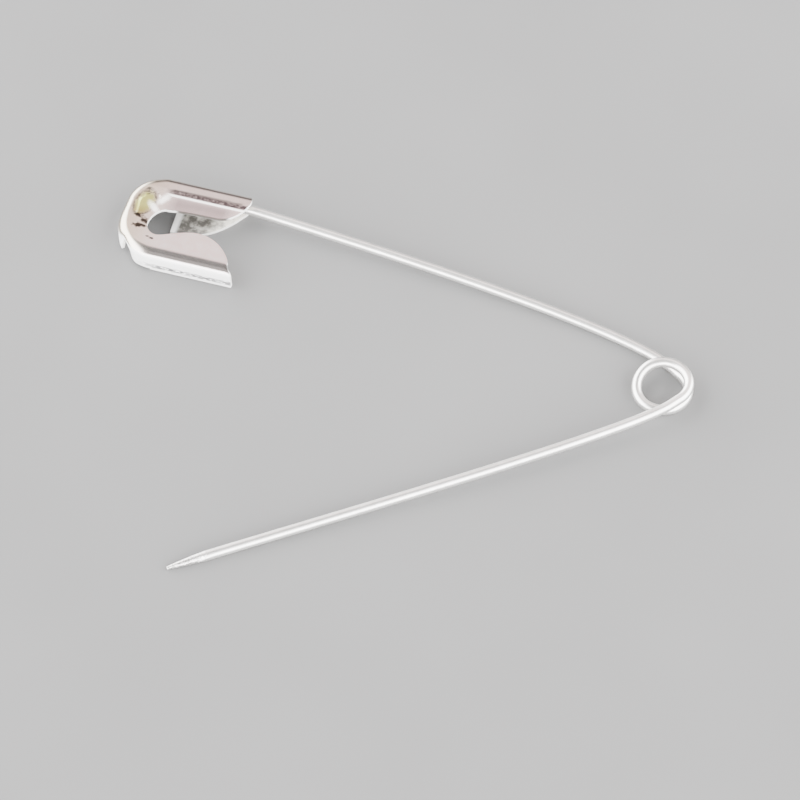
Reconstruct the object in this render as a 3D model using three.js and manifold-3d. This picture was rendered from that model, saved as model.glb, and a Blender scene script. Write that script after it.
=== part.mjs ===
// An open safety pin lying on its side: one length of spring wire and one folded sheet-metal cap.
// Millimetres, +Z up. The cap lies along X: its closed end is at X = 0 and its long middle line at Y = 0.
// The wire runs from its hooked end in the cap, along the back leg, round the coil and out to the point.
// The last lines move the whole pin so that its origin is at the bottom centre of its bounding box.
import * as THREE from 'three';
import { mergeVertices } from 'three/addons/utils/BufferGeometryUtils.js';
import Module from 'manifold-3d';

const wasm = await Module();
wasm.setup();

// Wire
const wireDiameter = 0.9;
const wireSides = 12;
const hookSteps = 10;
const backLegSteps = 18;
const shankSteps = 16;
const shortStretchSteps = 2;
const wireJointGap = 0.2; // between the stretches of wire that flex against each other

// Cap, one folded sheet
const sheet = 0.28;
const capWidth = 9.3;
const capHeight = 2.4;
const guardLength = 12; // closed end to the mouth, on the side that shields the point
const backLength = 11.3; // the same, on the side that holds the back leg
const backCornerRadius = 3.3;
const guardCornerRadius = 4.2;
const foldRadius = 0.7; // outside radius of the folded long edges
const crimpClearance = 0.06; // between the held wire and the side wall
const hookLength = 1.4; // straight end of the wire across the closed end
const rimLift = 0.35; // the closed end's cut edge above the table

// Face of the cap: an eye by the closed end, and a slot between the arm and the guard's lobe
const armWidth = 3.3;
const lobeWidth = 3.65;
const eyeWidth = 2.9;
const eyeSetback = 2.8;
const eyeSideStep = 0.45; // the eye's edge towards the back leg lies this far inside the arm's edge
const eyeCornerLength = 0.7;
const armStart = 6.6; // from the closed end to where the arm's edge runs straight
const lobeRise = 5.4; // from the closed end to where the lobe reaches its full width
const lobeCrown = 7.8; // from the closed end to where the lobe starts to round off
const armCrown = 9.4; // the same for the arm
const lobeFootShare = 0.6; // of eyeCornerLength, for the hollow where the eye meets the lobe

// Underside of the cap: two flaps folded in from the side walls
const flapSetback = 4.3;
const backFlapWidth = 4.1;
const guardFlapWidth = 3.1;
const flapCrown = 6;

// The rounded ends of arm, lobe and flaps: where the two handles of each end's curve lie. The first is the
// handle by the straight edge, along the end. The others are the handle by the wall: along, then across.
const armEndShares = [0.45, 0.76, 0.55];
const lobeEndShares = [0.54, 0.9, 0.52];
const backFlapEndShares = [0.45, 0.8, 0.5];

// Small cuts and marks in the sheet
const seamWidth = 0.16;
const guardSeamAngle = THREE.MathUtils.degToRad(218); // round the guard's corner, from +X
const backSeamAngle = THREE.MathUtils.degToRad(113); // the same round the back corner
const crimpGrooveWidth = 0.3;
const crimpGrooveDepth = 0.1;
const crimpGrooveInset = 1.55; // from the outside of the side wall
const crimpGrooveStart = 3.8;
const crimpGrooveEnd = 10.6;
const overrun = 1; // how far every cutter runs past what it cuts
const singleWallShare = 1.5; // of the sheet: a cutter that opens one wall stops this deep

// Coil
const coilDistance = 52.36; // from the cap's closed end to the coil's centre
const coilOffset = 4.9; // from the cap's middle line to the coil's centre
const coilOuterDiameter = 5.48;
const turnSpacing = 1.32; // centre to centre of the two turns, one above the other
const climbStart = THREE.MathUtils.degToRad(165); // turned from the back leg
const climbEnd = THREE.MathUtils.degToRad(340);
const stepsPerLoop = 24;
const coilSides = 6;

// Legs
const backLegSlopeAtCap = THREE.MathUtils.degToRad(-4.4);
const backLegSlopeAtCoil = THREE.MathUtils.degToRad(-32);
const backLegHandles = [22.1, 4.9];
const frontLegHeadingAtCoil = THREE.MathUtils.degToRad(234);
const frontLegHeadingAtPoint = THREE.MathUtils.degToRad(217.3);
const frontLegHandles = [5.1, 14];
const pointFromCapEnd = 16.3; // the point's place along the cap's middle line
const pointFromMiddleLine = 35.5; // and out from that line
const pointHeight = 0.35; // the centre of the point above the table
const pointLength = 4.2; // ground taper
const pointTipRadius = 0.05;
const pointLengthShares = [0.32, 0.62]; // where the ground taper changes slope
const pointRadiusShares = [0.86, 0.62]; // and how thick the wire is there
const rootLength = 3; // the stretch of the front leg that turns with the coil
const bendLength = 3; // the stretch that bends sideways

const steelColour = 0xd9d6d1;
const steelRoughness = 0.25;
const capColour = 0xdcd7d2;
const capRoughness = 0.22;
const sidesPerSegment = 2; // a full circle has two sides to each of its curve segments
const cornerSteps = 12; // to each rounded corner
const foldSteps = 4; // round each folded edge
const gapSamples = 12; // to each step of the coil, when its gap is measured

// Worked out from the sizes above
const wireRadius = wireDiameter / 2;
const halfWidth = capWidth / 2;
const pastMouth = Math.max(guardLength, backLength) + overrun; // beyond both sides of the cap's mouth
const coilRadius = (coilOuterDiameter - wireDiameter) / 2;
const wireHeightInCap = capHeight / 2;
const wireInset = sheet + crimpClearance + wireRadius;
const lowTurnHeight = wireRadius;
const quarter = Math.PI / 2;

function heading(angle) {
  return new THREE.Vector3(Math.cos(angle), Math.sin(angle), 0);
}

function asSolid(geometry) {
  const plain = geometry.clone();
  plain.deleteAttribute('normal');
  plain.deleteAttribute('uv');
  const merged = mergeVertices(plain);
  return new wasm.Manifold(new wasm.Mesh({
    numProp: 3,
    vertProperties: new Float32Array(merged.attributes.position.array),
    triVerts: new Uint32Array(merged.index.array),
  }));
}

function asGeometry(solid) {
  const { vertProperties, triVerts } = solid.getMesh();
  const geometry = new THREE.BufferGeometry();
  geometry.setAttribute('position', new THREE.BufferAttribute(vertProperties, 3));
  geometry.setIndex(new THREE.BufferAttribute(triVerts, 1));
  geometry.computeVertexNormals();
  return geometry;
}

// A flat shape given thickness between two heights
function slab(shape, low, high) {
  const settings = { depth: high - low, bevelEnabled: false, curveSegments: cornerSteps };
  return new THREE.ExtrudeGeometry(shape, settings).translate(0, 0, low);
}

// The same with its upper and lower edges rounded
function roundedSlab(shape, low, high, radius) {
  const geometry = new THREE.ExtrudeGeometry(shape, {
    depth: high - low - 2 * radius,
    bevelThickness: radius,
    bevelSize: radius,
    bevelOffset: -radius,
    bevelSegments: foldSteps,
    curveSegments: cornerSteps,
  });
  return geometry.translate(0, 0, low + radius);
}

// The cap's outline seen from above, drawn in by an inset, from its closed end to a given length
function capOutline(inset, length) {
  const backY = halfWidth - backCornerRadius;
  const guardY = -halfWidth + guardCornerRadius;
  const shape = new THREE.Shape();
  shape.moveTo(length, -halfWidth + inset);
  shape.lineTo(length, halfWidth - inset);
  shape.lineTo(backCornerRadius, halfWidth - inset);
  shape.absarc(backCornerRadius, backY, backCornerRadius - inset, quarter, 2 * quarter, false);
  shape.absarc(guardCornerRadius, guardY, guardCornerRadius - inset, 2 * quarter, 3 * quarter, false);
  shape.closePath();
  return shape;
}

// The curve round one end, from its crown on the straight edge to the outside of the side wall
function endCurve(crownX, edgeY, wallX, wallY, shares) {
  const along = wallX - crownX;
  const across = wallY - edgeY;
  return new THREE.CubicBezierCurve(
    new THREE.Vector2(crownX, edgeY),
    new THREE.Vector2(crownX + along * shares[0], edgeY),
    new THREE.Vector2(crownX + along * shares[1], edgeY + across * shares[2]),
    new THREE.Vector2(wallX, wallY),
  );
}

function traceEnd(shape, curve, backwards) {
  const points = curve.getPoints(cornerSteps);
  for (const point of backwards ? points.reverse() : points) {
    shape.lineTo(point.x, point.y);
  }
}

// What the face leaves open: the eye, the slot and all that lies past the two rounded ends
function faceOpening() {
  const armEdge = halfWidth - armWidth;
  const lobeEdge = -halfWidth + lobeWidth;
  const eyeRadius = eyeWidth / 2;
  const eyeTop = armEdge - eyeSideStep;
  const eyeX = eyeSetback + eyeRadius;
  const shape = new THREE.Shape();
  shape.moveTo(pastMouth, halfWidth + overrun);
  shape.lineTo(backLength, halfWidth + overrun);
  traceEnd(shape, endCurve(armCrown, armEdge, backLength, halfWidth, armEndShares), true);
  shape.lineTo(armStart, armEdge);
  shape.lineTo(eyeX, eyeTop);
  shape.absarc(eyeX, eyeTop - eyeRadius, eyeRadius, quarter, quarter * 3, false);
  shape.bezierCurveTo(
    eyeX + eyeCornerLength, eyeTop - eyeWidth,
    lobeRise - eyeCornerLength, lobeEdge - eyeCornerLength * lobeFootShare,
    lobeRise + eyeCornerLength, lobeEdge,
  );
  traceEnd(shape, endCurve(lobeCrown, lobeEdge, guardLength, -halfWidth, lobeEndShares), false);
  shape.lineTo(guardLength, -halfWidth - overrun);
  shape.lineTo(pastMouth, -halfWidth - overrun);
  shape.closePath();
  return shape;
}

// What the underside leaves open between and past the two flaps
function undersideOpening() {
  const backEdge = halfWidth - backFlapWidth;
  const guardEdge = -halfWidth + guardFlapWidth;
  const shape = new THREE.Shape();
  shape.moveTo(pastMouth, halfWidth + overrun);
  shape.lineTo(backLength, halfWidth + overrun);
  traceEnd(shape, endCurve(flapCrown, backEdge, backLength, halfWidth, backFlapEndShares), true);
  shape.lineTo(flapSetback - sheet, backEdge);
  shape.lineTo(flapSetback - sheet, guardEdge);
  traceEnd(shape, endCurve(lobeCrown, guardEdge, guardLength, -halfWidth, lobeEndShares), false);
  shape.lineTo(guardLength, -halfWidth - overrun);
  shape.lineTo(pastMouth, -halfWidth - overrun);
  shape.closePath();
  return shape;
}

// A narrow upright cut through the wall of a rounded corner, from below up to the fold: a seam in the sheet
function seamCut(cornerRadius, cornerY, angle) {
  const height = capHeight - foldRadius + overrun;
  const box = new THREE.BoxGeometry(2 * overrun, seamWidth, height);
  box.translate(cornerRadius, 0, height / 2 - overrun);
  box.rotateZ(angle);
  return box.translate(cornerRadius, cornerY, 0);
}

function makeCap() {
  const oneWall = sheet * singleWallShare;
  const outside = roundedSlab(capOutline(0, pastMouth), 0, capHeight, foldRadius);
  const tall = capHeight + 2 * overrun;
  const cutters = [
    roundedSlab(capOutline(sheet, pastMouth + overrun), sheet, capHeight - sheet, foldRadius - sheet),
    slab(faceOpening(), capHeight - oneWall, capHeight + overrun),
    slab(undersideOpening(), -overrun, oneWall),
    slab(capOutline(sheet, flapSetback), -overrun, oneWall),
    slab(capOutline(-overrun, flapSetback), -overrun, rimLift),
    new THREE.BoxGeometry(capWidth, halfWidth, tall)
      .translate(backLength + halfWidth, halfWidth, capHeight / 2),
    new THREE.BoxGeometry(capWidth, capWidth, tall)
      .translate(guardLength + halfWidth, 0, capHeight / 2),
    new THREE.BoxGeometry(crimpGrooveEnd - crimpGrooveStart, crimpGrooveWidth, 2 * crimpGrooveDepth)
      .translate((crimpGrooveStart + crimpGrooveEnd) / 2, halfWidth - crimpGrooveInset, capHeight),
    seamCut(guardCornerRadius, -halfWidth + guardCornerRadius, guardSeamAngle),
    seamCut(backCornerRadius, halfWidth - backCornerRadius, backSeamAngle),
  ];
  const cap = cutters.reduce((solid, cutter) => solid.subtract(asSolid(cutter)), asSolid(outside));
  return asGeometry(cap);
}

// A route made of several curves: each has its own number of even steps, and so has the tube along it
class Route extends THREE.Curve {
  constructor(pieces) {
    super();
    this.pieces = pieces;
    this.steps = pieces.reduce((sum, piece) => sum + piece.steps, 0);
  }

  getPoint(t, target = new THREE.Vector3()) {
    let place = t * this.steps;
    for (const piece of this.pieces) {
      if (place <= piece.steps || piece === this.pieces.at(-1)) {
        return target.copy(piece.curve.getPoint(Math.min(place / piece.steps, 1)));
      }
      place -= piece.steps;
    }
    return target;
  }

  getUtoTmapping(u) {
    return u;
  }
}

// The stretch of a curve between two distances along it
class Stretch extends THREE.Curve {
  constructor(curve, from, to) {
    super();
    this.curve = curve;
    this.start = curve.getUtoTmapping(0, from);
    this.end = curve.getUtoTmapping(0, to);
  }

  getPoint(t, target = new THREE.Vector3()) {
    return target.copy(this.curve.getPoint(this.start + t * (this.end - this.start)));
  }
}

// Two turns of wire, clockwise from above, with a straight lead one wire diameter long at each end
class CoilRoute extends THREE.Curve {
  constructor() {
    super();
    this.startAngle = backLegSlopeAtCoil + quarter;
    this.turned = 2 * Math.PI + backLegSlopeAtCoil - frontLegHeadingAtCoil + 2 * Math.PI;
    this.centre = new THREE.Vector3(coilDistance, -coilOffset, 0);
  }

  atTurn(turned, target = new THREE.Vector3()) {
    const angle = this.startAngle - turned;
    const climb = THREE.MathUtils.smootherstep(turned, climbStart, climbEnd);
    target.set(Math.cos(angle), Math.sin(angle), 0).multiplyScalar(coilRadius);
    target.z = lowTurnHeight + turnSpacing * climb;
    return target.add(this.centre);
  }

  getPoint(t, target = new THREE.Vector3()) {
    return this.atTurn(t * this.turned, target);
  }
}

function tube(route, sides) {
  const section = new THREE.Shape();
  section.absarc(0, 0, wireRadius, 0, 2 * Math.PI, false);
  return new THREE.ExtrudeGeometry(section, {
    steps: route.steps,
    extrudePath: route,
    curveSegments: sides / sidesPerSegment,
    bevelEnabled: false,
  });
}

function line(from, direction, length) {
  return new THREE.LineCurve3(from, from.clone().addScaledVector(direction, length));
}

// The coil and the points where its straight leads end
const coil = new CoilRoute();
const intoCoil = heading(backLegSlopeAtCoil);
const outOfCoil = heading(frontLegHeadingAtCoil);
const coilEntry = coil.atTurn(0).addScaledVector(intoCoil, -wireDiameter);
const coilExit = coil.atTurn(coil.turned);

function coilPath() {
  const steps = Math.round((stepsPerLoop * coil.turned) / (2 * Math.PI));
  return new Route([
    { curve: line(coilEntry, intoCoil, wireDiameter), steps: 1 },
    { curve: coil, steps },
    { curve: line(coilExit, outOfCoil, wireDiameter), steps: 1 },
  ]);
}

// The back leg: hooked across the closed end, straight along the side wall, then bowed out to the coil
function backLegPath() {
  const z = wireHeightInCap;
  const wallY = halfWidth - wireInset;
  const hookRadius = backCornerRadius - wireInset;
  const hookY = halfWidth - backCornerRadius;
  const mouth = new THREE.Vector3(backLength, wallY, z);
  const end = coilEntry.clone().addScaledVector(intoCoil, -wireJointGap);
  const leave = mouth.clone().addScaledVector(heading(backLegSlopeAtCap), backLegHandles[0]);
  const arrive = end.clone().addScaledVector(intoCoil, -backLegHandles[1]);
  const reach = end.x - mouth.x;
  leave.z = z + (end.z - z) * (leave.x - mouth.x) / reach;
  arrive.z = end.z;
  const hookEnd = new THREE.Vector3(wireInset, hookY - hookLength, z);
  const arc = new THREE.Path().absarc(backCornerRadius, hookY, hookRadius, 2 * quarter, quarter, true);
  const hook = new THREE.Curve();
  hook.getPoint = (t) => {
    const place = arc.getPoint(t);
    return new THREE.Vector3(place.x, place.y, z);
  };
  return new Route([
    { curve: new THREE.LineCurve3(hookEnd, new THREE.Vector3(wireInset, hookY, z)), steps: 1 },
    { curve: hook, steps: hookSteps },
    { curve: new THREE.LineCurve3(new THREE.Vector3(backCornerRadius, wallY, z), mouth), steps: 1 },
    { curve: new THREE.CubicBezierCurve3(mouth, leave, arrive, end), steps: backLegSteps },
  ]);
}

// The front leg's middle line, from the gap after the coil's straight lead to the point
function frontLegLine() {
  const start = coilExit.clone().addScaledVector(outOfCoil, wireDiameter + wireJointGap);
  const tip = new THREE.Vector3(pointFromCapEnd, -pointFromMiddleLine, pointHeight);
  const leave = start.clone().addScaledVector(outOfCoil, frontLegHandles[0]);
  const arrive = tip.clone().addScaledVector(heading(frontLegHeadingAtPoint), -frontLegHandles[1]);
  const span = start.distanceTo(tip);
  const fall = start.z - tip.z;
  leave.z = start.z - (fall * frontLegHandles[0]) / span;
  arrive.z = tip.z + (fall * frontLegHandles[1]) / span;
  return new THREE.CubicBezierCurve3(start, leave, arrive, tip);
}

const frontLeg = frontLegLine();
const frontLegLength = frontLeg.getLength();
const bendStart = rootLength + wireJointGap;
const shankStart = bendStart + bendLength + wireJointGap;

function frontLegStretch(from, to, steps) {
  return tube(new Route([{ curve: new Stretch(frontLeg, from, to), steps }]), wireSides);
}

// The shank with its long ground point, turned about the wire's own line
function makeShank() {
  const groundStart = frontLegLength - pointLength;
  const shank = frontLegStretch(shankStart, groundStart + wireRadius, shankSteps);
  const profile = [
    new THREE.Vector2(0, 0),
    new THREE.Vector2(wireRadius, 0),
    ...pointRadiusShares.map((share, i) => (
      new THREE.Vector2(wireRadius * share, pointLength * pointLengthShares[i])
    )),
    new THREE.Vector2(pointTipRadius, pointLength),
    new THREE.Vector2(0, pointLength),
  ];
  const point = new THREE.LatheGeometry(profile, wireSides);
  const along = frontLeg.getTangent(1);
  const turn = new THREE.Quaternion().setFromUnitVectors(new THREE.Vector3(0, 1, 0), along);
  const base = frontLeg.getPoint(1).addScaledVector(along, -pointLength);
  point.applyQuaternion(turn).translate(base.x, base.y, base.z);
  return asGeometry(asSolid(shank).add(asSolid(point)));
}

// The least clear distance between the coil's turns, measured between points half a turn or more apart
function leastCoilGap() {
  const path = coilPath();
  const points = path.getPoints(path.steps * gapSamples);
  const lengths = points.map((point, i) => (i === 0 ? 0 : point.distanceTo(points[i - 1])));
  for (let i = 1; i < lengths.length; i += 1) {
    lengths[i] += lengths[i - 1];
  }
  let least = Infinity;
  for (let i = 0; i < points.length; i += 1) {
    for (let j = i + 1; j < points.length; j += 1) {
      if (lengths[j] - lengths[i] > Math.PI * coilRadius) {
        least = Math.min(least, points[i].distanceTo(points[j]));
      }
    }
  }
  return least - wireDiameter;
}

function part(name, geometry, color, roughness) {
  const mesh = new THREE.Mesh(geometry, new THREE.MeshStandardMaterial({ color, roughness, metalness: 1 }));
  mesh.name = name;
  return mesh;
}

function wirePart(name, geometry) {
  return part(name, geometry, steelColour, steelRoughness);
}

const pin = new THREE.Group();
pin.add(
  part('cap', makeCap(), capColour, capRoughness),
  wirePart('back_leg', tube(backLegPath(), wireSides)),
  wirePart('spring_coil', tube(coilPath(), coilSides)),
  wirePart('front_leg_root', frontLegStretch(0, rootLength, shortStretchSteps)),
  wirePart('front_leg_bend', frontLegStretch(bendStart, bendStart + bendLength, shortStretchSteps)),
  wirePart('front_leg', makeShank()),
);

console.log(`spring_coil: least gap to itself ${leastCoilGap().toFixed(3)} mm`);

const box = new THREE.Box3().setFromObject(pin, true);
const middle = box.getCenter(new THREE.Vector3());
pin.position.set(-middle.x, -middle.y, -box.min.z);

export default pin;
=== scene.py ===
"""The looks of an open safety pin that lies on its side: one plated spring wire and one folded sheet cap.

Pieces are modelled in millimetres in the cap's own frame: its closed end is at X = 0, its long middle line
at Y = 0 and the surface that the pin lies on at Z = 0. settle() then scales them to metres and moves them to
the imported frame, so that every finished object sits at the origin.
"""
import math

import bpy
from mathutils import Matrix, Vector
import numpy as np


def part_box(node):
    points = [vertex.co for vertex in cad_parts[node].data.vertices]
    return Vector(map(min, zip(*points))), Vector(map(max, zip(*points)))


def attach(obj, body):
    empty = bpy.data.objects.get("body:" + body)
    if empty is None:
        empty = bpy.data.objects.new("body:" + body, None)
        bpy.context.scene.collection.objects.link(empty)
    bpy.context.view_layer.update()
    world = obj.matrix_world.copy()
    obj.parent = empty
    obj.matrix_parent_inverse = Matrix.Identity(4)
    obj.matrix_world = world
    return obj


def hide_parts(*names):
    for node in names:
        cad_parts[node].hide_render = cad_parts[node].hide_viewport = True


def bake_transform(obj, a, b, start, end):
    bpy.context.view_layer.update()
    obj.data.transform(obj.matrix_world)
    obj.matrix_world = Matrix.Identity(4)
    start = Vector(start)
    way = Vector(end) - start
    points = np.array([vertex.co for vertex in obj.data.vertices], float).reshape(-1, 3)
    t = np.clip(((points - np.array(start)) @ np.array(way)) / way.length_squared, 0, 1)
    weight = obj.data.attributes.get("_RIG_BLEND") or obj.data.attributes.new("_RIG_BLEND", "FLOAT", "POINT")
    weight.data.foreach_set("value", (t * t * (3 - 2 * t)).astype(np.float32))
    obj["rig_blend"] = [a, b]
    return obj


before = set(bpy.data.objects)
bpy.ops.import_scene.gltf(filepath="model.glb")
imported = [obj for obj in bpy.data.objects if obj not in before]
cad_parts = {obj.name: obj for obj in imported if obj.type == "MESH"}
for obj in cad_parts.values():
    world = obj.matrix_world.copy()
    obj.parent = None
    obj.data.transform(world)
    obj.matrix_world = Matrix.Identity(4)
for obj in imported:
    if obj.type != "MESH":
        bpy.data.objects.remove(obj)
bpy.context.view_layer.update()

MM = 0.001
QUARTER = math.pi / 2
CLEARANCE = 0.001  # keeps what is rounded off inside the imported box

# Wire
WIRE_DIAMETER = 0.9
WIRE_RADIUS = WIRE_DIAMETER / 2
WIRE_SIDES_RESOLUTION = 12  # gives 28 sides
STEPS_BETWEEN_KNOTS = 6
LEG_KNOT_SPACING = 2.2
COIL_KNOT_ANGLE = math.radians(15)
HOOK_KNOTS = 6
CLIMB_KNOTS = 12
ROOT_KNOTS = 1
BEND_KNOTS = 3
DISTANCE_SAMPLES = 400

# Cap
SHEET = 0.28
CAP_WIDTH = 9.3
HALF_WIDTH = CAP_WIDTH / 2 - CLEARANCE
CAP_HEIGHT = 2.4 - CLEARANCE
HOOK_CORNER = 3.3  # the corner that the hooked end of the wire follows
BACK_CORNER = 3.15
GUARD_CORNER = 4.2
HOOK_LENGTH = 1.4
BACK_LENGTH = 11.3
CRIMP_CLEARANCE = 0.06
CUT_EDGE = 0.06  # the rounding of the sheet's cut edges
WALL_GAP = 0.05  # the curve of a rounded end stops this far short of the fold

# Height of the folds at the guard, at the closed end and at the back, and how many times as wide they are
UPPER_FOLDS = (0.7, 0.9, 0.45)
LOWER_FOLDS = (0.35, 0.35, 0.35)
UPPER_SPREAD = (1.55, 1.0, 1.9)
LOWER_SPREAD = (1.0, 1.0, 1.0)

# Where the two sides of the mouth lie at five heights
HEIGHTS = (0.0, 0.35, 1.7, 2.1, 2.4)
GUARD_MOUTH = (11.85, 12.0, 11.95, 11.85, 11.37)
BACK_MOUTH = (10.8, 10.9, 10.65, 11.0, 11.25)

# The cap's face: lobe, eye, slot and arm. A curved end or foot is its first place and its two handles
LOBE_END = ((7.8, -1.08), (9.7, -1.05), (11.05, -2.75))
LOBE_FOOT = ((7.8, -1.08), (6.3, -1.08), (4.75, -2.27), (4.05, -2.27))  # with its last place too
EYE_LOW = (Vector((4.05, -1.05, 0)), 1.15, 1.22)  # its lower part: middle, half length and half width
EYE_HIGH = (Vector((4.3, -1.05, 0)), 1.4, 1.9)
EYE_ANGLES = (270, 222, 220, 180, 150, 118, 117, 90)
SLOT_CORNER = (4.92, 0.98)
ARM_START = (6.6, 1.1)
ARM_END = ((8.6, 1.15), (10.0, 1.15), (10.9, 2.2))

# Along the outline: the lobe's crown, the start and rise of the back flap, and the arm's crown
OUTLINE_MARKS = (7.8, 4.3, 6.2, 8.6)

# The flaps under the cap
GUARD_FLAP = ((7.8, -1.55), (10.07, -1.55), (11.2, -2.9))
BACK_FLAP_FOOT = ((4.55, 0.04), (6.2, 0.25))
BACK_FLAP_END = ((6.2, 0.25), (8.2, 0.5), (9.6, 2.1))
BACK_FLAP_KNOTS = 2

# Seams in the closed end's wall
SEAM_WIDTH = 0.16
SEAM_NEARBY = 1.8  # only the wall this close to a seam is taken for its own
GUARD_SEAM = math.radians(221)
BACK_SEAM = math.radians(113)

# The guard's wall has sprung inwards beside its seam
SPRUNG_BELOW = 0.6
SPRUNG_BY = 0.6
SPRUNG_REACH = 2.2

# Press marks in the face: line, width, depth and how far the mark fades out
PRESS_DEPTH_LIMIT = 0.4
PRESS_LINES = (
    (((5.0, 1.0), (9.4, 1.2)), 0.12, 0.08, 1.3),
    (((4.1, 2.96), (10.6, 3.06)), 0.12, 0.045, 0.42),
    (((1.2, -0.2), (1.0, 1.3)), 0.13, 0.05, 0.42),
    (((1.1, 1.6), (1.65, 2.55)), 0.13, 0.05, 0.42),
    (((1.85, 2.6), (2.65, 2.15)), 0.13, 0.05, 0.42),
)

# Ovals drawn on the face: middle, half length, half width and turn
WORN_SPOT = ((1.85, 1.1), 1.55, 0.95, math.radians(84))
# Painted highlights where pressed ridges catch the light
HIGHLIGHT_SPOTS = (
    ((2.85, 0.75), 0.95, 0.36, math.radians(-42)),
    ((3.45, 1.95), 0.85, 0.4, math.radians(60)),
)
DARK_MARKS = (
    ((1.8, -0.5), 0.4, 0.24, math.radians(-20)),
    ((2.5, -0.95), 0.42, 0.28, math.radians(-50)),
    ((2.25, -1.6), 0.6, 0.3, math.radians(10)),
    ((3.8, -2.8), 0.2, 0.1, 0.0),
    ((3.45, -2.66), 0.18, 0.1, 0.0),
)

# Where the cap's looks change along, across and up it. A change runs from the first place to the second
TOWARDS_CLOSED_END = (4.5, 1.5)
# Painted shade: the face darkens where it turns into the back fold
BACK_FOLD_SHADE = (3.1, 3.4)
# Painted shade on the arm, from here to the slot
ARM_INNER_PART = (2.6, 2.2)
ARM_FROM_SLOT = (0.85, 1.0)
SPOT_TOWARDS_GUARD = (0.8, 0.0)
CRIMPED_STRETCH = (3.2, 4.0)
# The walls are painted near-white as painted light; along here their top changes from the closed end's
# height to the sides'
WHITE_WALL_TOP_SHIFT = (0.2, 1.2)
WALL_TOP_AT_END = (1.9, 1.2)
WALL_TOP_AT_SIDES = (2.06, 1.9)
GUARD_WALL = (-4.2, -4.6)
GUARD_WALL_STRETCH = (2.5, 5.0)
BLOTCHES_FADE = (7.7, 9.4)
# A painted highlight along the back flap's end edge
FLAP_EDGE_HIGHLIGHT = (5.2, 4.9)
FACE_HEIGHT = (1.9, 2.1)

# Bands drawn on the cap: middle, half width and how far each fades out
# Painted shade on the arm
ARM_SHADE_BAND = (7.0, 2.2, 1.3)
CRIMP_BAND = (3.02, 0.18, 0.16)
# A painted highlight along the ridge below the crimp
RIDGE_HIGHLIGHT_LINE = (2.6, 0.08, 0.1)
SPOT_RIM = (1.0, 0.02, 0.16)
FLECK_BAND = (0.78, 0.16, 0.18)
# Painted shade on the face's cut edge along the slot
SLOT_SHADE_STRETCH = (7.4, 2.2, 0.4)
SLOT_EDGE_SHADE = (1.1, 0.35, 0.3)

# Meshes
CAP_STEPS = 12
FACE_CUTS = 30
WALL_CUTS = 5
FLAP_CUTS = 10
FOLD_STEPS = 6
CUT_EDGE_STEPS = 2
MERGED_IN_WIRE = 0.0005  # points nearer to each other than this become one
MERGED_IN_SHEET = 0.002
SMOOTH_BELOW = math.radians(40)  # faces that meet at less than this are shaded as one
ROUNDED_ABOVE = math.radians(50)  # and edges sharper than this are rounded

# Coil and legs. Angles round the coil are counted from where the back leg enters it
COIL_CENTRE = Vector((52.335, -4.9, 0.0))
COIL_DIAMETER = 5.5
COIL_RADIUS = (COIL_DIAMETER - WIRE_DIAMETER) / 2
TURN_SPACING = 1.0
LOW_TURN = WIRE_RADIUS + CLEARANCE
CLIMB_START = math.radians(165)
CLIMB_END = math.radians(340)
LEAD = WIRE_DIAMETER  # straight wire before and after the coil
BACK_SLOPE_AT_CAP = math.radians(-4.4)
BACK_SLOPE_AT_COIL = math.radians(-32)
BACK_HANDLES = (22.1, 4.9)  # how far the leg keeps to its slope at the cap and at the coil
FRONT_HEADING_AT_COIL = math.radians(234)
FRONT_HEADING_AT_POINT = math.radians(216.2)
FRONT_HANDLES = (5.1, 14.0)  # the same at the coil and at the point
COIL_TURNED = 4 * math.pi + BACK_SLOPE_AT_COIL - FRONT_HEADING_AT_COIL
POINT = Vector((16.34, -35.42, 0.372))
POINT_LENGTH = 3.6
POINT_KNOTS = 8
POINT_TIP_SHARE = 0.3
POINT_SWELL = 1.25  # 1 gives a plain cone, and more a fuller one
POINT_DROOP = 0.1  # how far the tip is bent down
POINT_ROUGHNESS = 0.04
POINT_SEED = 4
ROUGHENED_SIDE = 0.4  # how squarely the roughened part of the point faces its left side, at the least
GROUND_LENGTH = 5.0  # how far the ground finish fades out from the tip

# Where the front leg's pieces meet, in millimetres from its start
ROOT_END = 1.7
SIDE_BEND_END = 4.9
UP_BEND_END = 8.1
BLEND_INSET = 0.06  # a bend starts and ends this far inside its piece

# Sizes of the patterns on the surfaces
CLOUDS = 1.1  # slow changes in the plating's tone
SPECKLES = 0.25  # where the plating is rubbed or stained
BLOTCHES = 0.77  # the unpolished inside
SHEAR_MARKS = 0.17
GROUND_FACETS = 0.14
FLECK_SPACING = (0.55, 0.13)  # along and up the guard's wall
DRAW_MARKS = 1.1  # really 0.02 mm and too fine to show, so drawn coarser
CARD_FIBRES = 25.0  # really 0.1 mm and too fine to show, so drawn coarser
FLATTENED = 1000.0  # a size so great that an oval no longer changes along that way

# Camera and light
CAMERA_AZIMUTH = math.radians(16.5)
CAMERA_ELEVATION = math.radians(53)
CAMERA_DISTANCE = 0.3
CAMERA_TARGET = Vector((30.27, -12.33, 0.0))
FOCAL_PIXELS = 3384
FRAME_PIXELS = 800
SENSOR_WIDTH = 36.0
CLIP_RANGE = (0.01, 10.0)
FLOOR_SIZE = 3.0
LIGHT_STRENGTH = 13.0

# The tent that the pin mirrors, from the horizon behind it, 0, over its top to the horizon in front, 1
TENT_STRIPS = (
    (0.0, "#363432"), (0.04, "#0d0c0b"), (0.16, "#0d0c0b"), (0.21, "#7a706e"), (0.345, "#7a706e"),
    (0.39, "#131311"), (0.56, "#131311"), (0.61, "#31302e"), (0.77, "#31302e"), (0.81, "#ffffff"),
)
TENT_SIDES = (0.42, 0.58)  # how far aside the strips fade into the white sides, where 1 is squarely aside


def heading(angle):
    return Vector((math.cos(angle), math.sin(angle), 0))


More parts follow.
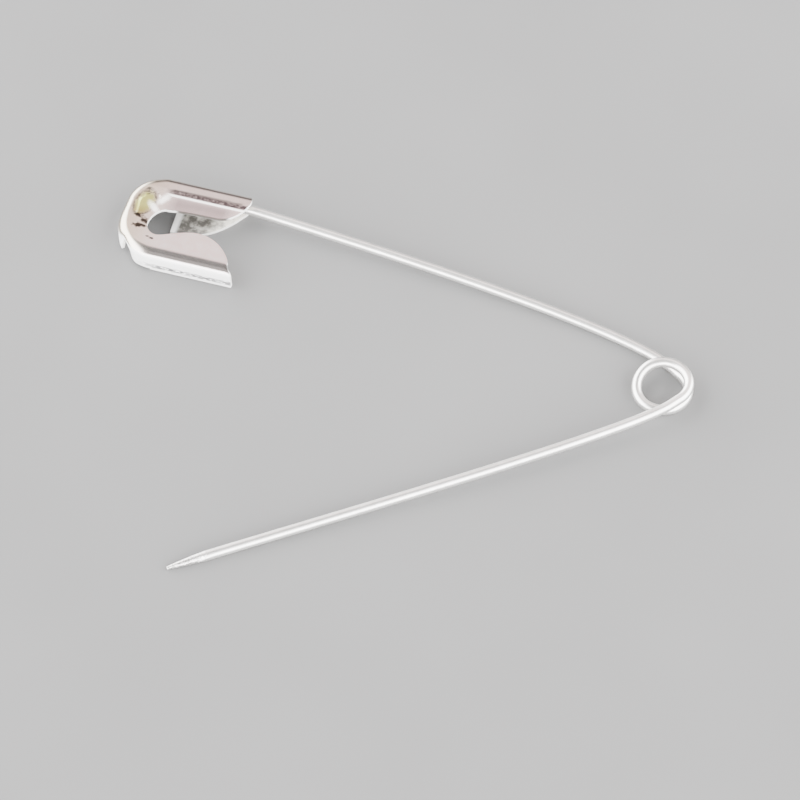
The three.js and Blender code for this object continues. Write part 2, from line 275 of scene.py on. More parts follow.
def linear(hex_colour):
    """A colour given in sRGB hex, as the linear colour that a socket takes."""
    channels = [int(hex_colour[i:i + 2], 16) / 255 for i in (1, 3, 5)]
    return (*[c / 12.92 if c <= 0.04045 else ((c + 0.055) / 1.055) ** 2.4 for c in channels], 1.0)


def in_frame(place):
    """A place in the cap's own frame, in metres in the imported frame."""
    low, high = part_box("cap")
    return place * MM + Vector((low.x, (low.y + high.y) / 2, 0))


# Placing and selecting

def alone(obj):
    """Selects one object and makes it the active one."""
    bpy.ops.object.select_all(action="DESELECT")
    obj.select_set(True)
    bpy.context.view_layer.objects.active = obj


def edit_where(obj, kind, test):
    """Goes into edit mode with only the parts selected that pass a test. kind is VERT, EDGE or FACE."""
    alone(obj)
    bpy.ops.object.mode_set(mode="EDIT")
    bpy.ops.mesh.select_mode(type=kind)
    bpy.ops.mesh.select_all(action="DESELECT")
    bpy.ops.object.mode_set(mode="OBJECT")
    for part in {"VERT": obj.data.vertices, "EDGE": obj.data.edges, "FACE": obj.data.polygons}[kind]:
        part.select = bool(test(part))
    bpy.ops.object.mode_set(mode="EDIT")


def done_editing():
    bpy.ops.object.mode_set(mode="OBJECT")


def settle(obj):
    """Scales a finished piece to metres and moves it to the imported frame, with its place in its mesh."""
    alone(obj)
    obj.scale = (MM, MM, MM)
    obj.location = in_frame(Vector((0, 0, 0)))
    bpy.ops.object.transform_apply(location=True, rotation=True, scale=True)


def finish_piece(obj, slot, *nodes):
    if nodes:
        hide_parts(*nodes)


# Curves drawn through knots, each knot given as handle, place, handle

def knots(route, start, end, count):
    """Knots of a smooth line along route, with handles that follow its slope."""
    step = (end - start) / count
    small = step / 50
    found = []
    for i in range(count + 1):
        t = start + i * step
        slope = (route(t + small) - route(t - small)) / (2 * small)
        reach = slope * (step / 3)
        place = route(t)
        found.append((place - reach, place, place + reach))
    return found


def straight(a, b):
    third = (b - a) / 3
    return [(a - third, a, a + third), (b - third, b, b + third)]


def joined(*stretches):
    """One line of knots from stretches that each start where the last one ends."""
    line = list(stretches[0])
    for stretch in stretches[1:]:
        left, place, _ = line.pop()
        line += [(left, place, stretch[0][2]), *stretch[1:]]
    return line


def cubic(a, b, c, d):
    def place(t):
        s = 1 - t
        return a * s ** 3 + b * (3 * s * s * t) + c * (3 * s * t * t) + d * t ** 3
    return place


def by_distance(route):
    """The same route, asked by the distance from its start in millimetres, and its whole length."""
    places = [route(i / DISTANCE_SAMPLES) for i in range(DISTANCE_SAMPLES + 1)]
    reached = [0.0]
    for a, b in zip(places, places[1:]):
        reached.append(reached[-1] + (b - a).length)

    def place(distance):
        i = 0
        while i < DISTANCE_SAMPLES - 1 and reached[i + 1] < distance:
            i += 1
        part = (distance - reached[i]) / (reached[i + 1] - reached[i])
        return route((i + part) / DISTANCE_SAMPLES)
    return place, reached[-1]


def draw_curve(name, points, steps):
    bpy.ops.object.select_all(action="DESELECT")
    bpy.ops.curve.primitive_bezier_curve_add()
    obj = bpy.context.object
    obj.name = name
    spline = obj.data.splines[0]
    spline.bezier_points.add(len(points) - 2)
    for knot, (left, place, right) in zip(spline.bezier_points, points):
        knot.handle_left_type = knot.handle_right_type = "FREE"
        knot.co, knot.handle_left, knot.handle_right = place, left, right
    obj.data.dimensions = "3D"
    obj.data.resolution_u = steps
    return obj


# The wire's route

def on_coil(turned):
    angle = BACK_SLOPE_AT_COIL + QUARTER - turned
    share = min(max((turned - CLIMB_START) / (CLIMB_END - CLIMB_START), 0), 1)
    climb = share ** 3 * (share * (share * 6 - 15) + 10)
    height = Vector((0, 0, LOW_TURN + TURN_SPACING * climb))
    return COIL_CENTRE + heading(angle) * COIL_RADIUS + height


COIL_ENTRY = on_coil(0) - heading(BACK_SLOPE_AT_COIL) * LEAD
COIL_EXIT = on_coil(COIL_TURNED)
FRONT_START = COIL_EXIT + heading(FRONT_HEADING_AT_COIL) * LEAD
WIRE_IN_CAP_Y = HALF_WIDTH - SHEET - CRIMP_CLEARANCE - WIRE_RADIUS
MOUTH = Vector((BACK_LENGTH, WIRE_IN_CAP_Y, CAP_HEIGHT / 2))


def back_leg_line():
    leave = MOUTH + heading(BACK_SLOPE_AT_CAP) * BACK_HANDLES[0]
    arrive = COIL_ENTRY - heading(BACK_SLOPE_AT_COIL) * BACK_HANDLES[1]
    leave.z += (COIL_ENTRY.z - MOUTH.z) * (leave.x - MOUTH.x) / (COIL_ENTRY.x - MOUTH.x)
    return cubic(MOUTH, leave, arrive, COIL_ENTRY)


def front_leg_line():
    span = (POINT - FRONT_START).length
    fall = FRONT_START.z - POINT.z
    leave = FRONT_START + heading(FRONT_HEADING_AT_COIL) * FRONT_HANDLES[0]
    arrive = POINT - heading(FRONT_HEADING_AT_POINT) * FRONT_HANDLES[1]
    leave.z -= fall * FRONT_HANDLES[0] / span
    arrive.z += fall * FRONT_HANDLES[1] / span
    return cubic(FRONT_START, leave, arrive, POINT)


def held_side_knots():
    """From the hooked end in the cap, along the back leg and round the coil's lower turn."""
    hook_y = HALF_WIDTH - HOOK_CORNER
    hook_radius = WIRE_IN_CAP_Y - hook_y
    corner = Vector((HOOK_CORNER, hook_y, CAP_HEIGHT / 2))
    across = corner - heading(0) * hook_radius
    hook_end = across - heading(QUARTER) * HOOK_LENGTH
    back_line, back_length = by_distance(back_leg_line())
    return joined(
        straight(hook_end, across),
        knots(lambda angle: corner + heading(angle) * hook_radius, math.pi, QUARTER, HOOK_KNOTS),
        straight(corner + heading(QUARTER) * hook_radius, MOUTH),
        knots(back_line, 0, back_length, round(back_length / LEG_KNOT_SPACING)),
        straight(COIL_ENTRY, on_coil(0)),
        knots(on_coil, 0, CLIMB_START, round(CLIMB_START / COIL_KNOT_ANGLE)),
    )


def taper(share):
    """How thick the ground point is, as a share of the wire, at a share of its length."""
    return 1 - (1 - POINT_TIP_SHARE) * share ** POINT_SWELL


# Wire pieces

def make_wire(name, material, points, radii=None):
    """A round wire along knots, closed at both ends, as a mesh."""
    obj = draw_curve(name, points, STEPS_BETWEEN_KNOTS)
    obj.data.bevel_depth = WIRE_RADIUS
    obj.data.bevel_resolution = WIRE_SIDES_RESOLUTION
    obj.data.use_fill_caps = True
    if radii:
        for knot, radius in zip(obj.data.splines[0].bezier_points, radii):
            knot.radius = radius
    alone(obj)
    bpy.ops.object.convert(target="MESH")
    obj = bpy.context.object
    edit_where(obj, "VERT", lambda v: True)
    bpy.ops.mesh.remove_doubles(threshold=MERGED_IN_WIRE)
    bpy.ops.mesh.normals_make_consistent(inside=False)
    done_editing()
    bpy.ops.object.shade_smooth_by_angle(angle=SMOOTH_BELOW)
    obj.data.materials.append(material)
    settle(obj)
    return obj


def make_wires(plating):
    held = make_wire("wire_held_side", plating, held_side_knots())
    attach(held, "held_side")
    finish_piece(held, "plated_wire", "back_leg")

    climb = make_wire("wire_coil_climb", plating, knots(on_coil, CLIMB_START, CLIMB_END, CLIMB_KNOTS))
    chord_start, chord_end = on_coil(CLIMB_START), on_coil(CLIMB_END)
    inner = (chord_end - chord_start).normalized() * (WIRE_RADIUS + BLEND_INSET)
    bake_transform(climb, "held_side", "leg_root", start=in_frame(chord_start + inner),
             end=in_frame(chord_end - inner))
    finish_piece(climb, "plated_wire", "spring_coil")

    leg, leg_length = by_distance(front_leg_line())
    high_turn = round((COIL_TURNED - CLIMB_END) / COIL_KNOT_ANGLE)
    root = make_wire("wire_leg_root", plating, joined(
        knots(on_coil, CLIMB_END, COIL_TURNED, high_turn),
        straight(COIL_EXIT, FRONT_START),
        knots(leg, 0, ROOT_END, ROOT_KNOTS),
    ))
    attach(root, "leg_root")
    finish_piece(root, "plated_wire", "front_leg_root")

    side = make_wire("wire_side_bend", plating, knots(leg, ROOT_END, SIDE_BEND_END, BEND_KNOTS))
    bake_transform(side, "leg_root", "leg_bend", start=in_frame(leg(ROOT_END + BLEND_INSET)),
             end=in_frame(leg(SIDE_BEND_END - BLEND_INSET)))
    finish_piece(side, "plated_wire", "front_leg_bend")

    up = make_wire("wire_up_bend", plating, knots(leg, SIDE_BEND_END, UP_BEND_END, BEND_KNOTS))
    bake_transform(up, "leg_bend", "leg", start=in_frame(leg(SIDE_BEND_END + BLEND_INSET)),
             end=in_frame(leg(UP_BEND_END - BLEND_INSET)))
    finish_piece(up, "plated_wire")

    ground = leg_length - POINT_LENGTH
    shaft_knots = round((ground - UP_BEND_END) / LEG_KNOT_SPACING)

    def point_line(distance):
        share = max(distance - ground, 0) / POINT_LENGTH
        return leg(distance) - Vector((0, 0, POINT_DROOP * share ** 2))
    route = joined(
        knots(leg, UP_BEND_END, ground, shaft_knots),
        knots(point_line, ground, leg_length, POINT_KNOTS),
    )
    radii = [1.0] * shaft_knots + [taper(i / POINT_KNOTS) for i in range(POINT_KNOTS + 1)]
    shank = make_wire("wire_point_leg", plating, route, radii)
    tip, across = in_frame(POINT), heading(FRONT_HEADING_AT_POINT + QUARTER)
    edit_where(shank, "VERT", lambda v: WIRE_RADIUS * MM < (v.co - tip).length < POINT_LENGTH * MM
               and v.normal.dot(across) > ROUGHENED_SIDE and v.co.z > WIRE_RADIUS * MM / 2)
    bpy.ops.transform.vertex_random(offset=POINT_ROUGHNESS * MM, normal=1.0, seed=POINT_SEED)
    done_editing()
    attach(shank, "leg")
    finish_piece(shank, "plated_wire", "front_leg")


# The cap: edge lines drawn as curves, bridged into one sheet, which is then given its thickness

def line_at(z, a, b):
    return straight(Vector((*a, z)), Vector((*b, z)))


def level(z, *places):
    """One stretch at one height, given by its two ends and the two handles between them."""
    a, b, c, d = (Vector((*place, z)) for place in places)
    return [(a, a, b), (c, d, d)]


def turned_back(stretch):
    return [(right, place, left) for left, place, right in reversed(stretch)]


def seam_sides(angle, radius):
    half = SEAM_WIDTH / radius / 2
    return angle + half, angle - half


def mouth_at(mouth, z):
    """How far from the closed end a side of the mouth lies at a height."""
    for low, high, first, last in zip(HEIGHTS, HEIGHTS[1:], mouth, mouth[1:]):
        if z <= high:
            return first + (last - first) * (z - low) / (high - low)
    return mouth[-1]


def contour(angle, under):
    """The outline at an angle round its fold, in stretches from the guard's mouth to the arm's mouth."""
    folds, spreads = (LOWER_FOLDS, LOWER_SPREAD) if under else (UPPER_FOLDS, UPPER_SPREAD)
    guard, end, back = zip(folds, spreads)
    guard_fold, _, back_fold = folds
    guard_centre = Vector((GUARD_CORNER, -HALF_WIDTH + GUARD_CORNER, 0))
    back_centre = Vector((BACK_CORNER, HALF_WIDTH - BACK_CORNER, 0))
    guard_seam, back_seam = seam_sides(GUARD_SEAM, GUARD_CORNER), seam_sides(BACK_SEAM, BACK_CORNER)
    lobe, flap, rise, arm = OUTLINE_MARKS

    def height(fold):
        drop = fold * (1 - math.cos(angle))
        return CLEARANCE + drop if under else CAP_HEIGHT - drop

    def side(start, end, outward, first, last):
        return (lambda share: (start + (end - start) * share, outward)), first, last

    def bow(centre, radius, start, end, first, last):
        def route(share):
            outward = heading(start + (end - start) * share)
            return centre + outward * radius, outward
        return route, first, last

    def along_guard(start, end):
        return side(Vector((start, -HALF_WIDTH, 0)), Vector((end, -HALF_WIDTH, 0)), heading(-QUARTER),
                    guard, guard)

    def along_back(start, end):
        return side(Vector((start, HALF_WIDTH, 0)), Vector((end, HALF_WIDTH, 0)), heading(QUARTER),
                    back, back)

    part_way = [(a + b) / 2 for a, b in zip(end, back)]
    found = []
    for route, first, last in (
        along_guard(mouth_at(GUARD_MOUTH, height(guard_fold)), lobe),
        along_guard(lobe, GUARD_CORNER),
        bow(guard_centre, GUARD_CORNER, 3 * QUARTER, guard_seam[0], guard, end),
        bow(guard_centre, GUARD_CORNER, *guard_seam, end, end),
        bow(guard_centre, GUARD_CORNER, guard_seam[1], 2 * QUARTER, end, end),
        side(Vector((0, guard_centre.y, 0)), Vector((0, back_centre.y, 0)), heading(math.pi), end, end),
        bow(back_centre, BACK_CORNER, 2 * QUARTER, back_seam[0], end, part_way),
        bow(back_centre, BACK_CORNER, *back_seam, part_way, part_way),
        bow(back_centre, BACK_CORNER, back_seam[1], QUARTER, part_way, back),
        along_back(BACK_CORNER, flap),
        along_back(flap, rise),
        along_back(rise, arm),
        along_back(arm, mouth_at(BACK_MOUTH, height(back_fold))),
    ):
        def place(share):
            fold, spread = [a + (b - a) * share * share * (3 - 2 * share) for a, b in zip(first, last)]
            spot, outward = route(share)
            return spot - outward * (fold * spread * (1 - math.sin(angle))) + Vector((0, 0, height(fold)))
        found.append(knots(place, 0, 1, 1))
    return found


def face_edge(z):
    """The face's free edge, stretch for stretch beside the outline: lobe, eye, slot and arm."""
    def eye(start, end):
        centre, wide, high = EYE_LOW if start > 180 else EYE_HIGH

        def place(angle):
            return centre + Vector((wide * math.cos(angle), high * math.sin(angle), z))
        return knots(place, math.radians(start), math.radians(end), 1)

    eye_top = EYE_HIGH[0] + Vector((0, EYE_HIGH[2], 0))
    lobe_tip = (GUARD_MOUTH[-1], -HALF_WIDTH + UPPER_FOLDS[0] * UPPER_SPREAD[0] + WALL_GAP)
    arm_tip = (BACK_MOUTH[-1], HALF_WIDTH - UPPER_FOLDS[2] * UPPER_SPREAD[2] - WALL_GAP)
    return [
        turned_back(level(z, *LOBE_END, lobe_tip)),
        level(z, *LOBE_FOOT),
        *[eye(start, end) for start, end in zip(EYE_ANGLES, EYE_ANGLES[1:])],
        line_at(z, eye_top.xy, SLOT_CORNER),
        line_at(z, SLOT_CORNER, ARM_START),
        line_at(z, ARM_START, ARM_END[0]),
        level(z, *ARM_END, arm_tip),
    ]


def edge_line(name, stretches):
    """An edge line as a mesh, with all its points in a group of its own name."""
    obj = draw_curve(name, joined(*stretches), CAP_STEPS)
    alone(obj)
    bpy.ops.object.convert(target="MESH")
    obj = bpy.context.object
    group = obj.vertex_groups.new(name=name)
    group.add(range(len(obj.data.vertices)), 1, "REPLACE")
    return obj


def loft(name, *runs):
    """One sheet through runs of edge lines. Between two lines, a run says how often their band is cut."""
    pairs = []
    for run in runs:
        for i in range(0, len(run) - 2, 2):
            pairs.append((run[i].name, run[i + 2].name, run[i + 1]))
    bpy.ops.object.select_all(action="DESELECT")
    for run in runs:
        for line in run[::2]:
            line.select_set(True)
    bpy.context.view_layer.objects.active = runs[0][0]
    bpy.ops.object.join()
    sheet = bpy.context.object
    sheet.name = name
    # Bands with cuts come last, because their new points join both groups
    for first, second, cuts in sorted(pairs, key=lambda pair: pair[2]):
        bpy.ops.object.mode_set(mode="EDIT")
        bpy.ops.mesh.select_mode(type="VERT")
        bpy.ops.mesh.select_all(action="DESELECT")
        for group in (first, second):
            sheet.vertex_groups.active_index = sheet.vertex_groups[group].index
            bpy.ops.object.vertex_group_select()
        bpy.ops.mesh.bridge_edge_loops(type="SINGLE", number_cuts=cuts, interpolation="LINEAR")
        bpy.ops.object.mode_set(mode="OBJECT")
    return sheet


def fold_lines(prefix, under, angles, part=slice(None)):
    """Edge lines round a folded edge, at angles from flat, with no cuts in the bands between them."""
    run = []
    for i, angle in enumerate(angles):
        run += [edge_line(f"{prefix}_{i}", contour(angle, under)[part]), 0]
    return run


def press(sheet, test, move, reach, connected=False):
    """Moves the sheet where test picks points, fading out over a reach."""
    edit_where(sheet, "VERT", test)
    bpy.ops.transform.translate(value=move, use_proportional_edit=True, proportional_edit_falloff="SMOOTH",
                                proportional_size=reach, use_proportional_connected=connected)
    done_editing()


def make_cap(materials):
    turns = [QUARTER * i / FOLD_STEPS for i in range(FOLD_STEPS + 1)]
    run = [edge_line("face_edge", face_edge(CAP_HEIGHT)), FACE_CUTS, *fold_lines("fold", False, turns)]
    run[-1] = WALL_CUTS
    run += fold_lines("rim", True, [QUARTER])
    guard = fold_lines("guard", True, turns[::-1], slice(0, 2))
    guard[-1] = FLAP_CUTS
    inner_y = HALF_WIDTH - LOWER_FOLDS[0] - WALL_GAP
    guard.append(edge_line("guard_edge", [
        turned_back(level(CLEARANCE, *GUARD_FLAP, (GUARD_MOUTH[0], -inner_y))),
        line_at(CLEARANCE, GUARD_FLAP[0], (GUARD_CORNER, GUARD_FLAP[0][1])),
    ]))
    back = fold_lines("back", True, turns[::-1], slice(-3, None))
    back[-1] = FLAP_CUTS
    end = [Vector((*place, CLEARANCE)) for place in (*BACK_FLAP_END, (BACK_MOUTH[0], inner_y))]
    back.append(edge_line("back_edge", [
        line_at(CLEARANCE, *BACK_FLAP_FOOT),
        knots(cubic(*end), 0, 1, BACK_FLAP_KNOTS),
    ]))
    cap = loft("cap_shell", run, guard, back)

    edit_where(cap, "VERT", lambda v: True)
    bpy.ops.mesh.remove_doubles(threshold=MERGED_IN_SHEET)
    bpy.ops.mesh.normals_make_consistent(inside=False)
    done_editing()
    top = max(cap.data.polygons, key=lambda face: face.center.z)
    if top.normal.z < 0:
        edit_where(cap, "FACE", lambda face: True)
        bpy.ops.mesh.flip_normals()
        done_editing()
    cut_seams(cap)
    emboss(cap)

    cap.vertex_groups.clear()
    for material in materials:
        cap.data.materials.append(material)
    inside, cut = 1, 2  # places among the materials
    wall = cap.modifiers.new("wall", "SOLIDIFY")
    wall.thickness, wall.offset, wall.use_even_offset = SHEET, -1, True
    wall.material_offset, wall.material_offset_rim = inside, cut
    edges = cap.modifiers.new("cut_edges", "BEVEL")
    edges.width, edges.segments, edges.material = CUT_EDGE, CUT_EDGE_STEPS, cut
    edges.limit_method, edges.angle_limit = "ANGLE", ROUNDED_ABOVE
    alone(cap)
    for modifier in ("wall", "cut_edges"):
        bpy.ops.object.modifier_apply(modifier=modifier)
    bpy.ops.object.shade_smooth_by_angle(angle=SMOOTH_BELOW)
    settle(cap)
    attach(cap, "held_side")
    finish_piece(cap, "plated_cap", "cap")


def cut_seams(cap):
    """Opens two narrow seams in the closed end's wall, up to its fold, and springs one corner inwards."""
    seams = []
    for angle, centre, radius in (
        (GUARD_SEAM, Vector((GUARD_CORNER, -HALF_WIDTH + GUARD_CORNER, 0)), GUARD_CORNER),
        (BACK_SEAM, Vector((BACK_CORNER, HALF_WIDTH - BACK_CORNER, 0)), BACK_CORNER),
    ):
        seams.append((centre + heading(angle) * radius, heading(angle + QUARTER)))

    def from_seam(spot, seam):
        """How far a spot of the wall lies from a seam, along the wall, or None where it is not nearby."""
        place, along = seam
        away = spot - place
        away.z = 0
        return away.dot(along) if away.length < SEAM_NEARBY else None

    def in_seam(face):
        if face.center.z > CAP_HEIGHT - UPPER_FOLDS[1]:
            return False
        found = [from_seam(face.center, seam) for seam in seams]
        return any(distance is not None and abs(distance) < SEAM_WIDTH / 2 for distance in found)

    edit_where(cap, "FACE", in_seam)
    bpy.ops.mesh.delete(type="FACE")
    done_editing()

    def loose_corner(v):
        distance = from_seam(v.co, seams[0])
        return v.co.z < SPRUNG_BELOW and distance is not None and 0 < distance < SEAM_WIDTH

    press(cap, loose_corner, -heading(GUARD_SEAM) * SPRUNG_BY, SPRUNG_REACH, connected=True)


def emboss(cap):
    """Presses the face in along the crimp beside the wire and round the dimple over its hooked end."""
    def near(v, a, b):
        """The distance of a point of the face from a line across it."""
        if v.co.z < CAP_HEIGHT - PRESS_DEPTH_LIMIT:
            return math.inf
        run = b - a
        share = min(max((v.co.xy - a).dot(run) / run.length_squared, 0), 1)
        return (v.co.xy - a - run * share).length

    for line, width, depth, reach in PRESS_LINES:
        ends = [Vector(place) for place in line]
        press(cap, lambda v: near(v, *ends) < width, Vector((0, 0, -depth)), reach)


# Materials

def add(tree, kind, inputs=(), out=0, stops=(), **settings):
    """Adds a node and gives one of its outputs.

    inputs holds values and other nodes' outputs, in the order of the sockets or by socket. stops are a
    colour ramp's, each a position and an sRGB hex colour.
    """
    node = tree.nodes.new("ShaderNode" + kind)
    for name, value in settings.items():
        setattr(node, name, value)
    for socket, value in inputs.items() if isinstance(inputs, dict) else enumerate(inputs):
        if isinstance(value, bpy.types.NodeSocket):
            tree.links.new(value, node.inputs[socket])
        else:
            node.inputs[socket].default_value = value
    for i, (position, colour) in enumerate(stops):
        elements = node.color_ramp.elements
        element = elements[i] if i < len(elements) else elements.new(position)
        element.position, element.color = position, linear(colour)
    return node.outputs[out] if len(node.outputs) else None


def new_material(name):
    material = bpy.data.materials.new(name)
    material.use_nodes = True
    material.node_tree.nodes.clear()
    return material, material.node_tree


def cap_place(tree):
    """Places on a piece in millimetres in the cap's own frame."""
    origin = in_frame(Vector((0, 0, 0)))
    return add(tree, "Mapping", {
        "Vector": add(tree, "TexCoord", out="Object"),
        "Location": -origin / MM,
        "Scale": (1 / MM, 1 / MM, 1 / MM),
    })


def paint(tree, base, colour, *shares):
    """Lays an sRGB colour over base, as far as all the shares together let it through."""
    cover = shares[0]
    for share in shares[1:]:
        cover = add(tree, "Math", (cover, share), operation="MULTIPLY")
    return add(tree, "Mix", {0: cover, 6: base, 7: linear(colour)}, out=2, data_type="RGBA")


def band(tree, value, middle, half, soft):
    """1 where value is within half of middle, falling to 0 over soft."""
    off = add(tree, "Math", (value, middle), operation="SUBTRACT")
    off = add(tree, "Math", (off,), operation="ABSOLUTE")
    return add(tree, "MapRange", (off, half + soft, half))


def from_oval(tree, place, oval, ragged):
    """How far a place lies from an oval's middle, where 1 is its rim. ragged is added to that."""
    middle, half_length, half_width, turn = oval
    flat = add(tree, "Mapping", {
        "Vector": place,
        "Location": (*middle, 0.0),
        "Rotation": (0.0, 0.0, turn),
        "Scale": (half_length, half_width, FLATTENED),
    }, vector_type="TEXTURE")
    off = add(tree, "VectorMath", (flat,), out="Value", operation="LENGTH")
    return add(tree, "Math", (off, ragged), operation="ADD")


def nickel_plated_sheet():
    """Nickel over pressed steel: a polished beige face with a worn khaki spot, painted highlights and
    painted shade, and white satin walls that are painted light.
    """
    material, tree = new_material("nickel_plated_pressed_steel")
    place = cap_place(tree)
    along, across, height = add(tree, "SeparateXYZ", (place,)).node.outputs
    cloud = add(tree, "TexNoise", {"Vector": place, "Scale": 1 / CLOUDS, "Detail": 4.0, "Roughness": 0.6})
    speckle = add(tree, "TexNoise", {
        "Vector": place, "Scale": 1 / SPECKLES, "Detail": 3.0, "Roughness": 0.7,
    })
    ragged = add(tree, "MapRange", (speckle, 0.0, 1.0, -0.35, 0.35))
    torn = add(tree, "MapRange", (speckle, 0.3, 0.7, -0.6, 0.6))
    mottled = add(tree, "MapRange", (speckle, 0.42, 0.6, 0.25, 0.95))
    base = add(tree, "ValToRGB", (cloud,), stops=((0.3, "#dacfcd"), (0.7, "#e4dbda")))
    base = paint(tree, base, "#c6bca4", add(tree, "MapRange", (along, *TOWARDS_CLOSED_END, 0.0, 0.75)))
    # Painted shade where the face turns into the back fold
    base = paint(tree, base, "#a08f80", add(tree, "MapRange", (across, *BACK_FOLD_SHADE, 0.0, 0.35)))

    # Painted shade: the arm between the crimp and the slot is painted darker, as if turned away from the
    # light
    base = paint(tree, base, "#8e8284", add(tree, "MapRange", (across, *ARM_INNER_PART, 0.0, 0.65)),
                 add(tree, "MapRange", (across, *ARM_FROM_SLOT)), band(tree, along, *ARM_SHADE_BAND))

    # The worn spot over the wire's hooked end, browner towards the guard, with a dark broken rim
    off_spot = from_oval(tree, place, WORN_SPOT, ragged)
    base = paint(tree, base, "#afb75d", add(tree, "MapRange", (off_spot, 1.1, 0.65, 0.0, 0.85)))
    base = paint(tree, base, "#86713f", add(tree, "MapRange", (off_spot, 1.1, 0.8)),
                 add(tree, "MapRange", (across, *SPOT_TOWARDS_GUARD, 0.0, 0.55)))
    base = paint(tree, base, "#3a322e", band(tree, off_spot, *SPOT_RIM), mottled)

    # A dark, mottled purplish band along the crimp beside the wire
    beside_wire = add(tree, "MapRange", (along, *CRIMPED_STRETCH))
    base = paint(tree, base, "#40383b", band(tree, across, *CRIMP_BAND), beside_wire,
                 add(tree, "MapRange", (speckle, 0.35, 0.55, 0.6, 0.97)))

    # Painted highlights, near-white and less metallic: spots beside the worn one where pressed ridges catch
    # the light, and a line along the ridge below the crimp
    bright = add(tree, "Math", (band(tree, across, *RIDGE_HIGHLIGHT_LINE), 0.85), operation="MULTIPLY")
    bright = add(tree, "Math", (bright, beside_wire), operation="MULTIPLY")
    for oval in HIGHLIGHT_SPOTS:
        spot = add(tree, "MapRange", (from_oval(tree, place, oval, ragged), 1.3, 0.35, 0.0, 0.75))
        bright = add(tree, "Math", (bright, spot), operation="MAXIMUM")
    base = paint(tree, base, "#fdfbf8", bright)
    for oval in DARK_MARKS:
        off = from_oval(tree, place, oval, torn)
        base = paint(tree, base, "#1f1a15", add(tree, "MapRange", (off, 1.2, 0.6, 0.0, 0.97)))

    # The face and the folds are polished; the walls below are painted near-white and left satin, so that
    # they look brightly lit: painted light
    wall_top = [add(tree, "MapRange", (along, *WHITE_WALL_TOP_SHIFT, at_end, at_sides))
                for at_end, at_sides in zip(WALL_TOP_AT_END, WALL_TOP_AT_SIDES)]
    wall = add(tree, "MapRange", (height, *wall_top))
    base = paint(tree, base, "#fdfcfb", wall)

    # Small dark flecks along the guard's wall
    long, high = FLECK_SPACING
    stretched = add(tree, "Mapping", {"Vector": place, "Scale": (1 / long, 0.0, 1 / high)})
    grain = add(tree, "TexNoise", {"Vector": stretched, "Scale": 1.0, "Detail": 3.0})
    base = paint(tree, base, "#3c3c3e", add(tree, "MapRange", (grain, 0.42, 0.5, 0.0, 0.9)),
                 band(tree, height, *FLECK_BAND), add(tree, "MapRange", (across, *GUARD_WALL)),
                 add(tree, "MapRange", (along, *GUARD_WALL_STRETCH)))

    # satin marks where light is painted: the painted highlights and the whitened walls, both also made less
    # metallic and rougher
    satin = add(tree, "Math", (wall, bright), operation="MAXIMUM")
    shader = add(tree, "BsdfPrincipled", {
        "Base Color": base,
        "Metallic": add(tree, "MapRange", (satin, 0.0, 1.0, 0.96, 0.2)),
        "Roughness": add(tree, "MapRange", (satin, 0.0, 1.0, 0.17, 0.45)),
    })
    add(tree, "OutputMaterial", (shader,))
    return material


def unpolished_inside():
    """The inside of the sheet, plated but never polished: matt, mottled grey, with a painted highlight along
    the flap's end edge.
    """
    material, tree = new_material("nickel_plated_steel_unpolished")
    place = cap_place(tree)
    along = add(tree, "SeparateXYZ", (place,), out="X")
    blotch = add(tree, "TexNoise", {
        "Vector": place, "Scale": 1 / BLOTCHES, "Detail": 5.0, "Roughness": 0.65,
    })
    lighter = add(tree, "MapRange", (along, *BLOTCHES_FADE, -0.06, 0.3))
    blotch = add(tree, "Math", (blotch, lighter), operation="ADD")
    base = add(tree, "ValToRGB", (blotch,), stops=((0.39, "#56534f"), (0.76, "#efebe1")))
    # Painted highlight: the flap's end edge is painted near-white, as if catching light
    base = paint(tree, base, "#fdfcfa", add(tree, "MapRange", (along, *FLAP_EDGE_HIGHLIGHT)))
    shader = add(tree, "BsdfPrincipled", {"Base Color": base, "Metallic": 0.1, "Roughness": 0.55})
    add(tree, "OutputMaterial", (shader,))
    return material


def sheared_edge():
    """The sheet's cut edges, plated over the shear marks: a bright grained line, with painted shade along
    the slot.
    """
    material, tree = new_material("nickel_plated_sheared_edge")
    place = cap_place(tree)
    along, across, height = add(tree, "SeparateXYZ", (place,)).node.outputs
    grain = add(tree, "TexNoise", {"Vector": place, "Scale": 1 / SHEAR_MARKS, "Detail": 2.0})
    base = add(tree, "ValToRGB", (grain,), stops=((0.35, "#eeebe6"), (0.65, "#fbfaf8")))
    # Painted shade: the face's cut edge along the slot is painted dark, as if in shadow
    base = paint(tree, base, "#59534f", band(tree, along, *SLOT_SHADE_STRETCH), band(tree, across, *SLOT_EDGE_SHADE),
                 add(tree, "MapRange", (height, *FACE_HEIGHT)))
    shader = add(tree, "BsdfPrincipled", {"Base Color": base, "Metallic": 0.2, "Roughness": 0.35})
    add(tree, "OutputMaterial", (shader,))
    return material


def nickel_plated_wire():
    """Nickel over cold-drawn spring wire: satin white, with a mottled grey point where it was ground."""
    material, tree = new_material("nickel_plated_drawn_wire")
    place = cap_place(tree)
    cloud = add(tree, "TexNoise", {"Vector": place, "Scale": 1 / DRAW_MARKS, "Detail": 3.0})
    base = add(tree, "ValToRGB", (cloud,), stops=((0.3, "#eae8e5"), (0.7, "#faf8f6")))
    from_point = add(tree, "VectorMath", (place, POINT), out="Value", operation="DISTANCE")
    facets = add(tree, "TexNoise", {"Vector": place, "Scale": 1 / GROUND_FACETS, "Detail": 1.0})
    base = paint(tree, base, "#777573", add(tree, "MapRange", (facets, 0.5, 0.58, 0.0, 0.8)),
                 add(tree, "MapRange", (from_point, GROUND_LENGTH, 0.0)))
    shader = add(tree, "BsdfPrincipled", {"Base Color": base, "Metallic": 0.86, "Roughness": 0.3})
    add(tree, "OutputMaterial", (shader,))
    return material


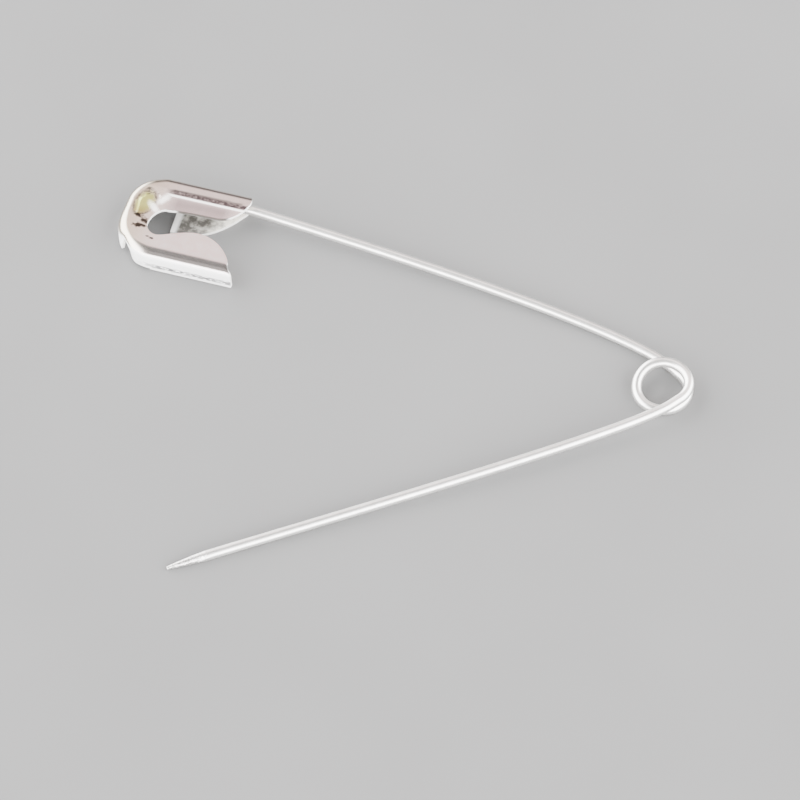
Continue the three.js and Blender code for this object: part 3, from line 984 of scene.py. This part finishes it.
def pale_card():
    """Matt pale card: an even, dull surface with a hardly visible cloudiness."""
    material, tree = new_material("pale_matt_card")
    place = cap_place(tree)
    cloud = add(tree, "TexNoise", {"Vector": place, "Scale": 1 / CARD_FIBRES, "Detail": 2.0})
    base = add(tree, "ValToRGB", (cloud,), stops=((0.3, "#686868"), (0.7, "#6c6c6c")))
    shader = add(tree, "BsdfPrincipled", {"Base Color": base, "Roughness": 0.9})
    add(tree, "OutputMaterial", (shader,))
    return material


# Floor, light and camera

def make_floor():
    bpy.ops.object.select_all(action="DESELECT")
    bpy.ops.mesh.primitive_plane_add(size=FLOOR_SIZE, location=(0, 0, 0))
    floor = bpy.context.object
    floor.name = "floor"
    floor.data.materials.append(pale_card())


def make_light():
    """A studio tent, white in front and at both sides, with dim strips overhead for the polished face."""
    world = bpy.data.worlds.new("studio")
    bpy.context.scene.world = world
    world.use_nodes = True
    tree = world.node_tree
    tree.nodes.clear()
    towards = add(tree, "TexCoord", out="Generated")
    sideways, backwards, upwards = add(tree, "SeparateXYZ", (towards,)).node.outputs
    over = add(tree, "Math", (upwards, backwards), operation="ARCTAN2")
    over = add(tree, "Math", (over, math.pi), operation="DIVIDE")
    strips = add(tree, "ValToRGB", (over,), stops=TENT_STRIPS)
    aside = add(tree, "Math", (sideways,), operation="ABSOLUTE")
    strips = paint(tree, strips, "#ffffff", add(tree, "MapRange", (aside, *TENT_SIDES)))
    light = add(tree, "Background", (strips, LIGHT_STRENGTH))
    add(tree, "OutputWorld", (light,))


def make_camera():
    away = heading(CAMERA_AZIMUTH - QUARTER) * math.cos(CAMERA_ELEVATION)
    away.z = math.sin(CAMERA_ELEVATION)
    bpy.ops.object.select_all(action="DESELECT")
    bpy.ops.object.camera_add(location=in_frame(CAMERA_TARGET) + away * CAMERA_DISTANCE)
    camera = bpy.context.object
    camera.name = "camera"
    camera.rotation_mode = "QUATERNION"
    camera.rotation_quaternion = (-away).to_track_quat("-Z", "Y")
    camera.data.sensor_width = SENSOR_WIDTH
    camera.data.lens = FOCAL_PIXELS / FRAME_PIXELS * SENSOR_WIDTH
    camera.data.clip_start, camera.data.clip_end = CLIP_RANGE
    bpy.context.scene.camera = camera


make_camera()
make_cap((nickel_plated_sheet(), unpolished_inside(), sheared_edge()))
make_wires(nickel_plated_wire())
make_floor()
make_light()
